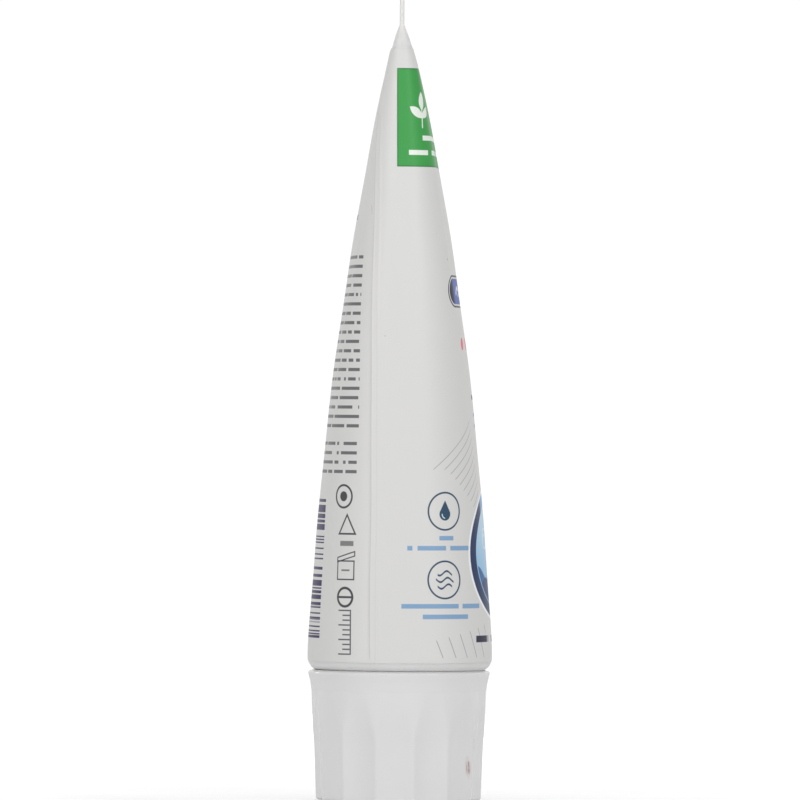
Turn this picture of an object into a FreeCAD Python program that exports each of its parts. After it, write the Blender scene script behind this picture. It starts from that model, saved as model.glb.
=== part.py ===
import FreeCAD, Part
import math
import os
import Sketcher

# A full toothpaste tube that stands on its wide screw cap.
# +Z runs up from the floor through the cap, the shoulder and the sleeve to
# the flat sealed tail. X is the width of the tail, Y the thickness of the
# tube, and the front panel faces -Y. All sizes are in millimetres.

doc = FreeCAD.newDocument("toothpaste_tube")

# ---------------------------------------------------------------- sizes
sheet = doc.addObject("Spreadsheet::Sheet", "Sizes")
numbers = {}


def size(alias, number, note=""):
    row = len(numbers) + 1
    sheet.set("A%d" % row, alias)
    sheet.set("B%d" % row, repr(round(float(number), 5)))
    sheet.setAlias("B%d" % row, alias)
    sheet.set("C%d" % row, note)
    numbers[alias] = round(float(number), 5)


def value(expr):
    """The number behind a sum of aliases, such as cap_height-rim_gap."""
    total, sign, word = 0.0, 1.0, ""
    for char in expr.replace(" ", "") + "+":
        if char in "+-":
            if word:
                total += sign * (numbers[word] if word in numbers else float(word))
            sign, word = (1.0 if char == "+" else -1.0), ""
        else:
            word += char
    return total


def bound(expr):
    """The same sum written for an expression that reads the sheet."""
    out, word = "", ""
    for char in expr.replace(" ", "") + "+":
        if char in "+-":
            out += ("Sizes." + word if word in numbers else word) + char
            word = ""
        else:
            word += char
    return out[:-1]


# cap
size("cap_height", 24.3, "floor to rim")
size("cap_foot_rad", 15.35, "flat standing face")
size("cap_foot_round", 0.5, "bevel of the bottom edge")
size("cap_low_rad", 15.85, "over the ridges at the bottom")
size("collar_low_z", 21.2, "where the plain collar starts")
size("collar_low_rad", 16.70, "foot of the collar")
size("rim_rad", 17.35, "widest point of the collar")
size("rim_bevel", 0.22, "bevel of the rim")
size("rim_inner_rad", 16.15, "inside of the rim")
size("step_z", 22.5, "step inside the rim")
size("wall_high_z", 21.3, "top of the inner wall")
size("wall_high_rad", 14.75, "inner wall, top")
size("wall_low_rad", 13.95, "inner wall, bottom")
size("floor_z", 1.6, "inside face of the closed end")
size("floor_round", 0.8, "inside corner")
size("gate_rad", 1.8, "shallow dimple in the middle of the closed end")
size("gate_deep", 0.3, "depth of the dimple")
size("boss_low_rad", 9.15, "outside of the threaded collar, bottom")
size("boss_high_rad", 8.85, "outside of the threaded collar, top")
size("boss_top_z", 20.3, "top of the threaded collar")
size("boss_bore_rad", 7.40, "bore of the threaded collar")
size("boss_lead_in", 0.5, "bevel at the bore's mouth")
size("seat_out_rad", 4.9, "sealing ring, outside")
size("seat_in_rad", 3.5, "sealing ring, inside")
size("seat_top_z", 9.85, "top of the sealing ring")
size("rib_start", 8.6, "rib, inner end from the axis")
size("rib_end", 14.6, "rib, outer end from the axis")
size("rib_thick", 0.9, "rib thickness")
size("rib_top_z", 16.0, "rib, top")
size("rib_count", 4, "ribs")
size("rib_turn", 45.0, "first rib, degrees from +X")
size("flute_count", 14, "flutes round the cap")
size("cap_turn", -2.6, "how far round the closed cap stands, degrees")
size("flute_rad", 15.5, "radius of each hollow flute")
size("flute_low_z", -0.5, "start of the cut")
size("flute_low_deep", 15.00, "flute bottom from the axis, low")
size("flute_mid_z", 11.3, "where the flute starts to run out")
size("flute_mid_deep", 15.44, "flute bottom from the axis, middle")
size("flute_high_z", 21.4, "end of the cut")
size("flute_high_deep", 16.76, "flute bottom from the axis, high")
# thread
size("thread_pitch", 3.0, "rise of one turn")
size("thread_root_wide", 1.30, "ridge width at its root")
size("thread_tip_wide", 0.70, "ridge width at its tip")
size("male_core_rad", 6.30, "nozzle under the thread")
size("male_tip_rad", 7.20, "nozzle over the thread")
size("male_start_z", 12.2, "middle of the ridge at its start")
size("male_rise", 6.6, "height of the nozzle's helix")
size("female_tip_rad", 6.55, "inner edge of the cap's ridge")
size("female_start_z", 10.7, "middle of the ridge at its start")
size("female_rise", 8.1, "height of the cap's helix")
# head
size("nozzle_end_z", 10.2, "end face of the nozzle")
size("nozzle_bevel", 0.35, "bevel of the nozzle's end")
size("orifice_rad", 3.6, "hole in the end face")
size("orifice_deep", 1.2, "thickness of the end face")
size("nozzle_bore_rad", 4.6, "bore of the nozzle")
size("neck_z", 21.2, "foot of the nozzle")
size("neck_rad", 7.4, "where the shoulder cone starts")
size("head_edge_rad", 15.06, "outer end of the cone")
size("head_edge_z", 24.62, "height of the cone's outer end")
size("head_lip_z", 25.08, "lip that sits on the curled sleeve")
size("head_curl_rad", 1.93, "radius of the lip's back")
size("head_rim_rad", 16.97, "outside of the head inside the sleeve")
size("head_rim_low_z", 26.55, "start of the head's outer rim")
size("head_rim_top_z", 27.4, "top of the head's outer rim")
size("head_in_rad", 15.9, "inside of the rim, top")
size("head_in_low_rad", 15.2, "inside of the rim, bottom")
size("head_in_low_z", 26.1, "inside of the rim, bottom height")
size("funnel_rad", 5.4, "where the funnel meets the bore")
size("funnel_z", 22.5, "height of that point")
size("bore_top_z", 21.5, "top of the straight bore")
# foil
size("foil_rad", 6.1, "membrane over the nozzle")
size("foil_thick", 0.08, "membrane thickness")
size("foil_gap", 0.05, "sealing layer between foil and nozzle")
# sleeve
size("sleeve_dia", 35.0, "round end of the sleeve")
size("sleeve_wall", 0.45, "sleeve wall")
size("curl_rad", 2.4, "rounded edge between sleeve and shoulder")
size("curl_center_rad", 15.1, "centre of that round")
size("sleeve_foot_z", 27.0, "where the round meets the sleeve")
size("tail_foot_z", 147.3, "start of the flat seal")
size("tail_top_z", 151.9, "end of the flat seal")
# label
size("label_gap", 0.08, "adhesive under the film")
size("label_thick", 0.08, "film thickness")
size("label_low_z", 27.0, "lower edge of the film, where the sleeve's round starts")
size("label_high_z", 142.6, "upper edge of the film")
size("overlap_far", 5.8, "free edge of the film, round from the -X side")
size("overlap_near", 4.6, "near side of the overlap, the same way")
size("flap_round", 1.15, "rounded corners of the free edge")
# paste
size("paste_gap", 0.08, "paste to sleeve")
size("paste_top_z", 115.5, "fill level")
size("paste_low_z", 27.45, "where the fill leaves the head")

# Every section of the sleeve is an oval of four tangent arcs: two round ends
# and two flatter sides. The sleeve can't stretch, so each oval is as long
# round as the sleeve's circle, which fixes its width. A station gives its
# height, its half thickness along Y and the radius of its ends.


def oval(half_thick, end_rad, girth):
    """Distance of an end's centre from the axis, and the sides' radius."""
    if abs(math.pi * 2 * half_thick - girth) < 1e-9:
        return 0.0, half_thick
    proud = half_thick - end_rad
    low, high = proud * 1.0001, girth / 4
    for _ in range(80):
        center = (low + high) / 2
        drop = (center ** 2 - proud ** 2) / (2 * proud)
        lean = math.atan2(center, drop)
        around = 4 * ((half_thick + drop) * lean + end_rad * (math.pi / 2 - lean))
        if around < girth:
            low = center
        else:
            high = center
    return center, half_thick + drop


GIRTH = math.pi * numbers["sleeve_dia"]
STATIONS = [(27.0, 17.50, 17.50), (37.7, 16.93, 16.77), (52.9, 15.72, 15.28),
            (68.2, 14.33, 13.70), (83.4, 12.64, 11.84), (96.0, 10.87, 10.01),
            (107.5, 9.08, 8.25), (115.5, 7.70, 6.95), (128.0, 5.47, 4.92),
            (136.8, 3.60, 3.24), (142.6, 2.12, 1.91), (145.8, 1.08, 0.99),
            (147.3, 0.46, 0.44)]
for index, (level, thick, end) in enumerate(STATIONS):
    center, side = oval(thick, end, GIRTH)
    tag = chr(97 + index)
    size("level_" + tag, level, "station height")
    size("thick_" + tag, thick, "half thickness along Y")
    size("end_" + tag, end, "radius of the rounded ends")
    size("center_" + tag, center, "centre of an end, from the axis")
    size("side_" + tag, side, "radius of the flatter sides")
doc.recompute()


# ------------------------------------------------------------- helpers
def origin_plane(body, role):
    for feature in body.Origin.OriginFeatures:
        if getattr(feature, "Role", "") == role:
            return feature
    raise RuntimeError("no " + role)


def new_sketch(body, name, role, lift=None, turn=0.0):
    sketch = body.newObject("Sketcher::SketchObject", name)
    sketch.AttachmentSupport = [(origin_plane(body, role), "")]
    sketch.MapMode = "FlatFace"
    if lift is not None:
        sketch.AttachmentOffset = FreeCAD.Placement(
            FreeCAD.Vector(0, 0, value(lift)), FreeCAD.Rotation(turn, 0, 0))
        sketch.setExpression("AttachmentOffset.Base.z", bound(lift))
    return sketch


def pin_coordinate(sketch, geo, end, kind, expr):
    number = value(expr)
    if abs(number) < 1e-9:
        sketch.addConstraint(Sketcher.Constraint(
            "PointOnObject", geo, end, -2 if kind == "DistanceX" else -1))
        return
    index = sketch.addConstraint(
        Sketcher.Constraint(kind, -1, 1, geo, end, number))
    sketch.setExpression("Constraints[%d]" % index, bound(expr))


def outline(sketch, points, arcs=None):
    """A closed outline whose corners are bound to the sheet. arcs gives, for
    the side that starts at a corner, its radius and a rough centre."""
    arcs = arcs or {}
    corners = [FreeCAD.Vector(value(x), value(y), 0) for x, y in points]
    count = len(corners)
    ends = []
    for i in range(count):
        a, b = corners[i], corners[(i + 1) % count]
        if i in arcs:
            radius_expr, cx, cy = arcs[i]
            mid = FreeCAD.Vector(cx, cy, 0)
            half = (a + b) * 0.5
            away = (half - mid)
            away.normalize()
            arc = Part.Arc(a, mid + away * value(radius_expr), b)
            geo = sketch.addGeometry(arc, False)
            start = sketch.getPoint(geo, 1)
            flip = start.distanceToPoint(a) > start.distanceToPoint(b)
            ends.append((geo, 2 if flip else 1, 1 if flip else 2))
        else:
            geo = sketch.addGeometry(Part.LineSegment(a, b), False)
            ends.append((geo, 1, 2))
    for i in range(count):
        geo, _, last = ends[i]
        following, first, _ = ends[(i + 1) % count]
        sketch.addConstraint(Sketcher.Constraint("Coincident", geo, last, following, first))
    for i, (x, y) in enumerate(points):
        geo, first, _ = ends[i]
        pin_coordinate(sketch, geo, first, "DistanceX", x)
        pin_coordinate(sketch, geo, first, "DistanceY", y)
    for i, (radius_expr, _, _) in arcs.items():
        index = sketch.addConstraint(
            Sketcher.Constraint("Radius", ends[i][0], value(radius_expr)))
        sketch.setExpression("Constraints[%d]" % index, bound(radius_expr))


def disc(sketch, radius_expr, center_expr=None):
    x = value(center_expr) if center_expr else 0.0
    geo = sketch.addGeometry(
        Part.Circle(FreeCAD.Vector(x, 0, 0), FreeCAD.Vector(0, 0, 1), value(radius_expr)), False)
    if center_expr:
        sketch.addConstraint(Sketcher.Constraint("PointOnObject", geo, 3, -1))
        index = sketch.addConstraint(
            Sketcher.Constraint("DistanceX", -1, 1, geo, 3, x))
        sketch.setExpression("Constraints[%d]" % index, bound(center_expr))
    else:
        sketch.addConstraint(Sketcher.Constraint("Coincident", geo, 3, -1, 1))
    index = sketch.addConstraint(Sketcher.Constraint("Radius", geo, value(radius_expr)))
    sketch.setExpression("Constraints[%d]" % index, bound(radius_expr))


def turned(body, name, sketch):
    feature = body.newObject("PartDesign::Revolution", name)
    feature.Profile = sketch
    feature.ReferenceAxis = (sketch, ["V_Axis"])
    feature.Angle = 360.0
    sketch.Visibility = False
    doc.recompute()
    return feature


def thread(body, name, root, tip, middle, rise):
    """A trapezoid ridge swept round the Z axis, right-handed."""
    sketch = new_sketch(body, name + "_profile", "XZ_Plane")
    half_root, half_tip = "half_root", "half_tip"
    outline(sketch, [(root, middle + "-" + half_root), (tip, middle + "-" + half_tip),
                     (tip, middle + "+" + half_tip), (root, middle + "+" + half_root)])
    doc.recompute()
    ridge = body.newObject("PartDesign::AdditiveHelix", name)
    ridge.Profile = sketch
    ridge.ReferenceAxis = (sketch, ["V_Axis"])
    ridge.Mode = 0
    ridge.Pitch = numbers["thread_pitch"]
    ridge.Height = numbers[rise]
    ridge.setExpression("Pitch", "Sizes.thread_pitch")
    ridge.setExpression("Height", "Sizes." + rise)
    ridge.LeftHanded = False
    ridge.Reversed = False
    sketch.Visibility = False
    doc.recompute()
    return ridge


size("half_root", numbers["thread_root_wide"] / 2, "half of thread_root_wide")
size("half_tip", numbers["thread_tip_wide"] / 2, "half of thread_tip_wide")
size("male_root_rad", numbers["male_core_rad"] - 0.2, "ridge starts inside the nozzle wall")
size("female_root_rad", numbers["boss_bore_rad"] + 0.2, "ridge starts inside the bore wall")
size("half_rib", numbers["rib_thick"] / 2, "half of rib_thick")
size("minus_half_rib", -numbers["rib_thick"] / 2, "other side of a rib")
size("rib_low_z", numbers["floor_z"] - 0.3, "rib starts inside the closed end")
size("rib_long", numbers["rib_top_z"] - numbers["floor_z"] + 0.3, "rib height")
doc.recompute()

# ---------------------------------------------------------------- screw cap
# One moulding: a closed flat end that the tube stands on, a fluted wall with
# a plain collar at the rim, and inside it a threaded collar held by ribs.
cap = doc.addObject("PartDesign::Body", "ScrewCap")
cap.Label = "screw_cap"
section = new_sketch(cap, "cap_section", "XZ_Plane")
outline(section, [
    ("0", "gate_deep"), ("gate_rad", "gate_deep"), ("gate_rad", "0"),
    ("cap_foot_rad", "0"), ("cap_low_rad", "cap_foot_round"),
    ("collar_low_rad", "collar_low_z"), ("rim_rad", "cap_height-rim_bevel"),
    ("rim_rad-rim_bevel", "cap_height"), ("rim_inner_rad", "cap_height"),
    ("rim_inner_rad-0.15", "step_z"), ("wall_high_rad", "wall_high_z"),
    ("wall_low_rad", "floor_z+floor_round"), ("wall_low_rad-floor_round", "floor_z"),
    ("boss_low_rad", "floor_z"), ("boss_high_rad", "boss_top_z"),
    ("boss_bore_rad+boss_lead_in", "boss_top_z"), ("boss_bore_rad", "boss_top_z-boss_lead_in"),
    ("boss_bore_rad", "floor_z"), ("seat_out_rad", "floor_z"),
    ("seat_out_rad", "seat_top_z"), ("seat_in_rad", "seat_top_z"),
    ("seat_in_rad", "floor_z"), ("0", "floor_z")])
doc.recompute()
cap_turned = turned(cap, "cap_wall", section)
plain_volume = cap.Shape.Volume

# ribs between the threaded collar and the wall
rib_sketch = new_sketch(cap, "rib_outline", "XY_Plane", "rib_low_z", numbers["rib_turn"])
outline(rib_sketch, [("rib_start", "minus_half_rib"), ("rib_end", "minus_half_rib"),
                     ("rib_end", "half_rib"), ("rib_start", "half_rib")])
doc.recompute()
rib = cap.newObject("PartDesign::Pad", "rib")
rib.Profile = rib_sketch
rib.Length = numbers["rib_long"]
rib.setExpression("Length", "Sizes.rib_long")
doc.recompute()
ribs = cap.newObject("PartDesign::PolarPattern", "ribs")
ribs.Originals = [rib]
ribs.Axis = (rib_sketch, ["N_Axis"])
ribs.Angle = 360.0
ribs.Occurrences = int(numbers["rib_count"])
ribs.setExpression("Occurrences", "Sizes.rib_count")
cap.Tip = ribs
doc.recompute()
ribbed_volume = cap.Shape.Volume

# flutes: a shallow round hollow that runs out in an arch below the collar
flute_sketches = []
for tag in ("low", "mid", "high"):
    ring = new_sketch(cap, "flute_" + tag, "XY_Plane", "flute_%s_z" % tag)
    disc(ring, "flute_rad", "flute_%s_deep+flute_rad" % tag)
    flute_sketches.append(ring)
doc.recompute()
flute = cap.newObject("PartDesign::SubtractiveLoft", "flute")
flute.Profile = flute_sketches[0]
flute.Sections = flute_sketches[1:]
flute.Ruled = True
doc.recompute()
flutes = cap.newObject("PartDesign::PolarPattern", "flutes")
flutes.Originals = [flute]
flutes.Axis = (flute_sketches[0], ["N_Axis"])
flutes.Angle = 360.0
flutes.Occurrences = int(numbers["flute_count"])
flutes.setExpression("Occurrences", "Sizes.flute_count")
cap.Tip = flutes
doc.recompute()
fluted_volume = cap.Shape.Volume

cap_thread = thread(cap, "cap_thread", "female_root_rad", "female_tip_rad",
                    "female_start_z", "female_rise")
cap.Tip = cap_thread
doc.recompute()
# screwed home, the cap has one flute a little behind the -X side
cap.Placement = FreeCAD.Placement(
    FreeCAD.Vector(0, 0, 0), FreeCAD.Rotation(numbers["cap_turn"], 0, 0))

# ---------------------------------------------------------------- tube head
# The moulded shoulder and nozzle. Its rim sits in the sleeve's rounded edge.
head = doc.addObject("PartDesign::Body", "TubeHead")
head.Label = "tube_head"
section = new_sketch(head, "head_section", "XZ_Plane")
outline(section, [
    ("orifice_rad", "nozzle_end_z"), ("male_core_rad-nozzle_bevel", "nozzle_end_z"),
    ("male_core_rad", "nozzle_end_z+nozzle_bevel"), ("male_core_rad", "neck_z-0.6"),
    ("neck_rad", "neck_z"), ("head_edge_rad", "head_edge_z"),
    ("head_edge_rad", "head_lip_z"), ("head_rim_rad", "head_rim_low_z"),
    ("head_rim_rad", "head_rim_top_z"), ("head_in_rad", "head_rim_top_z"),
    ("head_in_low_rad", "head_in_low_z"), ("funnel_rad", "funnel_z"),
    ("nozzle_bore_rad", "bore_top_z"), ("nozzle_bore_rad", "nozzle_end_z+orifice_deep"),
    ("orifice_rad", "nozzle_end_z+orifice_deep")],
    {6: ("head_curl_rad", 15.1, 27.0)})
doc.recompute()
head_turned = turned(head, "shoulder_and_nozzle", section)
head_plain = head.Shape.Volume
head_thread = thread(head, "nozzle_thread", "male_root_rad", "male_tip_rad",
                     "male_start_z", "male_rise")
head.Tip = head_thread
doc.recompute()

# ---------------------------------------------------------------- foil seal
foil = doc.addObject("PartDesign::Body", "FoilSeal")
foil.Label = "foil_seal"
foil_sketch = new_sketch(foil, "foil_outline", "XY_Plane", "nozzle_end_z-foil_gap-foil_thick")
disc(foil_sketch, "foil_rad")
doc.recompute()
foil_pad = foil.newObject("PartDesign::Pad", "membrane")
foil_pad.Profile = foil_sketch
foil_pad.Length = numbers["foil_thick"]
foil_pad.setExpression("Length", "Sizes.foil_thick")
foil.Tip = foil_pad
doc.recompute()


# ---------------------------------------------------------------- sleeve
def read(alias):
    return float(sheet.get(alias))


def oval_wire(tag, outset, level):
    """One section: the station's oval, grown by outset, at that level."""
    center = read("center_" + tag)
    end, thick = read("end_" + tag) + outset, read("thick_" + tag) + outset
    side = read("side_" + tag) + outset
    lean = math.asin(min(1.0, center / (side - end))) if side - end > 1e-9 else math.pi / 4
    x, y = center + end * math.sin(lean), end * math.cos(lean)

    def point(px, py):
        return FreeCAD.Vector(px, py, level)

    arcs = [Part.Arc(point(x, -y), point(center + end, 0), point(x, y)),
            Part.Arc(point(x, y), point(0, thick), point(-x, y)),
            Part.Arc(point(-x, y), point(-center - end, 0), point(-x, -y)),
            Part.Arc(point(-x, -y), point(0, -thick), point(x, -y))]
    return Part.Wire([arc.toShape() for arc in arcs])


def bulge(name, outset, first=0, last=None, low=None, high=None):
    """The tube's body as a loft through its stations, grown by outset (a
    sum of aliases, negative for inside faces)."""
    last = len(STATIONS) - 1 if last is None else last
    rings = []
    for index in range(first, last + 1):
        tag = chr(97 + index)
        level = "level_" + tag
        if index == first and low:
            level = low
        if index == last and high:
            level = high
        ring = doc.addObject("Part::Feature", "%s_ring_%s" % (name, tag))
        ring.Shape = oval_wire(tag, value("0" + outset), value(level))
        ring.Visibility = False
        rings.append(ring)
    loft = doc.addObject("Part::Loft", name)
    loft.Sections = rings
    loft.Solid = True
    loft.Ruled = False
    doc.recompute()
    return loft


def cut(name, base, tool):
    feature = doc.addObject("Part::Cut", name)
    feature.Base = base
    feature.Tool = tool
    doc.recompute()
    return feature


def fuse(name, shapes):
    feature = doc.addObject("Part::MultiFuse", name)
    feature.Shapes = shapes
    feature.Refine = False
    doc.recompute()
    return feature


def common(name, shapes):
    feature = doc.addObject("Part::MultiCommon", name)
    feature.Shapes = shapes
    doc.recompute()
    return feature


size("sleeve_rad", numbers["sleeve_dia"] / 2, "half of sleeve_dia")
size("curl_in_rad", numbers["curl_rad"] - numbers["sleeve_wall"], "inside of the rounded edge")
doc.recompute()

outside = bulge("sleeve_outside", "+0")
inside = bulge("sleeve_inside", "-sleeve_wall", 0, len(STATIONS) - 2)
wall = cut("sleeve_wall_shell", outside, inside)
tail = doc.addObject("Part::Extrusion", "flat_seal")
tail.Base = outside.Sections[-1]
tail.Dir = FreeCAD.Vector(0, 0, 1)
tail.DirMode = "Custom"
tail.LengthFwd = value("tail_top_z-tail_foot_z")
tail.setExpression("LengthFwd", bound("tail_top_z-tail_foot_z"))
tail.Solid = True
doc.recompute()
edge_body = doc.addObject("PartDesign::Body", "SleeveEdge")
edge_sketch = new_sketch(edge_body, "rounded_edge", "XZ_Plane")
outline(edge_sketch, [
    ("curl_center_rad", "sleeve_foot_z-curl_rad"), ("sleeve_rad", "sleeve_foot_z"),
    ("sleeve_rad-sleeve_wall", "sleeve_foot_z"),
    ("curl_center_rad", "sleeve_foot_z-curl_in_rad")],
    {0: ("curl_rad", 15.1, 27.0), 2: ("curl_in_rad", 15.1, 27.0)})
doc.recompute()
turned(edge_body, "rounded_edge_ring", edge_sketch)
sleeve = fuse("TubeSleeve", [wall, tail, edge_body])
sleeve.Label = "tube_sleeve"

# ---------------------------------------------------------------- label
# A printed film wrapped once round the sleeve. Its free end overlaps its
# start in a narrow strip on the -X side, and its corners are rounded.
def film(name, inner, outer):
    big = bulge(name + "_outside", outer, 0, 10, low="label_low_z", high="label_high_z")
    small = bulge(name + "_inside", inner, 0, 10, low="label_low_z", high="label_high_z")
    return cut(name + "_shell", big, small)


first_turn = film("film_first", "+label_gap", "+label_gap+label_thick")
second_turn = film("film_second", "+label_gap+label_thick", "+label_gap+label_thick+label_thick")


def round_the_oval(tag, around, outset, level):
    """The point that lies around mm from the -X side towards +Y."""
    center, end, side = read("center_" + tag), read("end_" + tag), read("side_" + tag)
    lean = math.asin(min(1.0, center / (side - end))) if side - end > 1e-9 else 0.0
    end_long = end * (math.pi / 2 - lean)
    if around <= end_long:
        turn = around / end
        return FreeCAD.Vector(-center - (end + outset) * math.cos(turn),
                              (end + outset) * math.sin(turn), level)
    turn = lean - (around - end_long) / side
    return FreeCAD.Vector(-(side + outset) * math.sin(turn),
                          (side + outset) * math.cos(turn) - side + read("thick_" + tag), level)


low, high, corner = read("label_low_z"), read("label_high_z"), read("flap_round")
near, far = read("overlap_near"), read("overlap_far")
curve = [(0.0, 0.05)] + [(corner * (1 - math.cos(math.radians(t))), corner * math.sin(math.radians(t)))
                         for t in (30, 52, 72, 90)]
window = [("a", low + rise, far - corner + run) for rise, run in curve]
window += [(chr(97 + i), read("level_" + chr(97 + i)), far) for i in range(1, 10)]
window += [("k", high - rise, far - corner + run) for rise, run in reversed(curve)]
rings = []
for index, (tag, level, edge) in enumerate(window):
    ring = doc.addObject("Part::Feature", "overlap_ring_%02d" % index)
    ring.Shape = Part.makePolygon([round_the_oval(tag, q, out, level) for q, out in (
        (near, -0.8), (near, 1.0), (edge, 1.0), (edge, -0.8), (near, -0.8))])
    ring.Visibility = False
    rings.append(ring)
overlap = doc.addObject("Part::Loft", "overlap_window")
overlap.Sections = rings
overlap.Solid = True
overlap.Ruled = True
doc.recompute()
flap = common("film_overlap", [second_turn, overlap])
label = fuse("WrapLabel", [first_turn, flap])
label.Label = "wrap_label"

# ---------------------------------------------------------------- paste
# The paste fills the sleeve up to its level, the funnel and the nozzle.
size("paste_cone_low_rad", numbers["funnel_rad"] - 0.12, "paste in the funnel, bottom")
size("paste_cone_high_rad", numbers["head_in_low_rad"] - 0.12, "paste in the funnel, top")
size("paste_bore_rad", numbers["nozzle_bore_rad"] - 0.06, "paste in the nozzle")
size("paste_tip_rad", numbers["orifice_rad"] - 0.06, "paste in the orifice")
doc.recompute()
filling = bulge("paste_bulk", "-sleeve_wall-paste_gap", 0, 7, low="paste_low_z", high="paste_top_z")
plug_body = doc.addObject("PartDesign::Body", "PastePlug")
plug_sketch = new_sketch(plug_body, "paste_plug", "XZ_Plane")
outline(plug_sketch, [
    ("0", "nozzle_end_z"), ("paste_tip_rad", "nozzle_end_z"),
    ("paste_tip_rad", "nozzle_end_z+orifice_deep+0.06"),
    ("paste_bore_rad", "nozzle_end_z+orifice_deep+0.06"),
    ("paste_bore_rad", "bore_top_z"), ("paste_cone_low_rad", "funnel_z+0.08"),
    ("paste_cone_high_rad", "head_in_low_z+0.08"), ("head_in_rad-0.12", "head_rim_top_z"),
    ("head_in_rad-0.12", "paste_low_z"), ("0", "paste_low_z")])
doc.recompute()
turned(plug_body, "paste_in_head", plug_sketch)
paste = fuse("Toothpaste", [filling, plug_body])
paste.Label = "toothpaste"

# ---------------------------------------------------------------- checks
doc.recompute()
assert fluted_volume < ribbed_volume - 200, "the flutes cut nothing"
assert ribbed_volume > plain_volume + 50, "the ribs added nothing"
assert cap.Shape.Volume > fluted_volume + 20, "the cap's thread added nothing"
assert head.Shape.Volume > head_plain + 20, "the nozzle's thread added nothing"
for whole, pieces in ((sleeve, (wall, tail, edge_body)), (label, (first_turn, flap)),
                      (paste, (filling, plug_body))):
    total = sum(piece.Shape.Volume for piece in pieces)
    assert abs(whole.Shape.Volume - total) < 0.005 * total, "%s lost a piece: %.1f of %.1f" % (
        whole.Label, whole.Shape.Volume, total)

for obj in doc.Objects:
    state = " ".join(obj.State)
    if "Invalid" in state or "Error" in state:
        raise RuntimeError("%s: %s" % (obj.Name, state))

nodes = [cap, head, foil, sleeve, label, paste]
os.makedirs("parts", exist_ok=True)
for node in nodes:
    shape = node.Shape
    if shape.isNull() or not shape.isValid() or len(shape.Solids) != 1:
        raise RuntimeError("%s: null %s valid %s solids %d" % (
            node.Label, shape.isNull(), shape.isNull() or shape.isValid(), len(shape.Solids)))
for node in nodes:
    shape = node.Shape
    shape.exportStep("parts/%s.step" % node.Label)
    box = shape.optimalBoundingBox()
    print("%-12s volume %8.1f mm3  x %7.2f..%6.2f  y %7.2f..%6.2f  z %7.2f..%6.2f  faces %d" % (
        node.Label, shape.Volume, box.XMin, box.XMax, box.YMin, box.YMax,
        box.ZMin, box.ZMax, len(shape.Faces)))
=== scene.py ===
import math

import bmesh
import bpy
import numpy as np
from mathutils import Matrix, Vector


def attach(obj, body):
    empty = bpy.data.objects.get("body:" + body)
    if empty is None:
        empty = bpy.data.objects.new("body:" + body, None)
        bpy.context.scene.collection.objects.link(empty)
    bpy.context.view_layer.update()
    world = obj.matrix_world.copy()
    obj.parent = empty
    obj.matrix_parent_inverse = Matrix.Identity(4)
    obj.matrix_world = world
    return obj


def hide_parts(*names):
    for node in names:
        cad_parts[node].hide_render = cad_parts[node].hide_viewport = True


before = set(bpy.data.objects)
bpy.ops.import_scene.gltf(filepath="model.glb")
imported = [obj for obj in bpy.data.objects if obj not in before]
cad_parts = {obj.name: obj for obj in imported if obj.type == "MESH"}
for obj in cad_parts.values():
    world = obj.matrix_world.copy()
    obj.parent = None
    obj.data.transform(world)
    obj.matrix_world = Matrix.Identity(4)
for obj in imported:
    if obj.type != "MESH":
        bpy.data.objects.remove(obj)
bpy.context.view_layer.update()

MM = 0.001
PI = math.pi


# ------------------------------------------------------------------ sections
# The sleeve's sections are ovals of four tangent arcs, all as long round as a
# 35 mm circle. q is the length round the sleeve from the -X side line: over
# the front panel (-Y) it grows to 27.49, at the +X side line it is 54.98.
GIRTH = PI * 35.0
STATIONS = np.array([
    (27.0, 17.50, 17.50), (37.7, 16.93, 16.77), (52.9, 15.72, 15.28),
    (68.2, 14.33, 13.70), (83.4, 12.64, 11.84), (96.0, 10.87, 10.01),
    (107.5, 9.08, 8.25), (115.5, 7.70, 6.95), (128.0, 5.47, 4.92),
    (136.8, 3.60, 3.24), (142.6, 2.12, 1.91), (145.5, 1.10, 1.01),
    (146.9, 0.46, 0.44)])


def spline(x, y, first_slope=None):
    """A cubic spline through the points, as a function of an array."""
    n = len(x)
    h = np.diff(x)
    a = np.zeros((n, n))
    r = np.zeros(n)
    for i in range(1, n - 1):
        a[i, i - 1], a[i, i], a[i, i + 1] = h[i - 1], 2 * (h[i - 1] + h[i]), h[i]
        r[i] = 6 * ((y[i + 1] - y[i]) / h[i] - (y[i] - y[i - 1]) / h[i - 1])
    a[0, 0] = a[-1, -1] = 1.0
    if first_slope is not None:
        a[0, 0], a[0, 1] = 2 * h[0], h[0]
        r[0] = 6 * ((y[1] - y[0]) / h[0] - first_slope)
    m = np.linalg.solve(a, r)

    def at(t):
        t = np.asarray(t, float)
        i = np.clip(np.searchsorted(x, t) - 1, 0, n - 2)
        u, w = t - x[i], x[i + 1] - t
        return (m[i] * w ** 3 + m[i + 1] * u ** 3) / (6 * h[i]) + \
            (y[i] / h[i] - m[i] * h[i] / 6) * w + (y[i + 1] / h[i] - m[i + 1] * h[i] / 6) * u
    return at


THICK = spline(STATIONS[:, 0], STATIONS[:, 1], 0.0)
ENDS = spline(STATIONS[:, 0], STATIONS[:, 2], 0.0)


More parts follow.
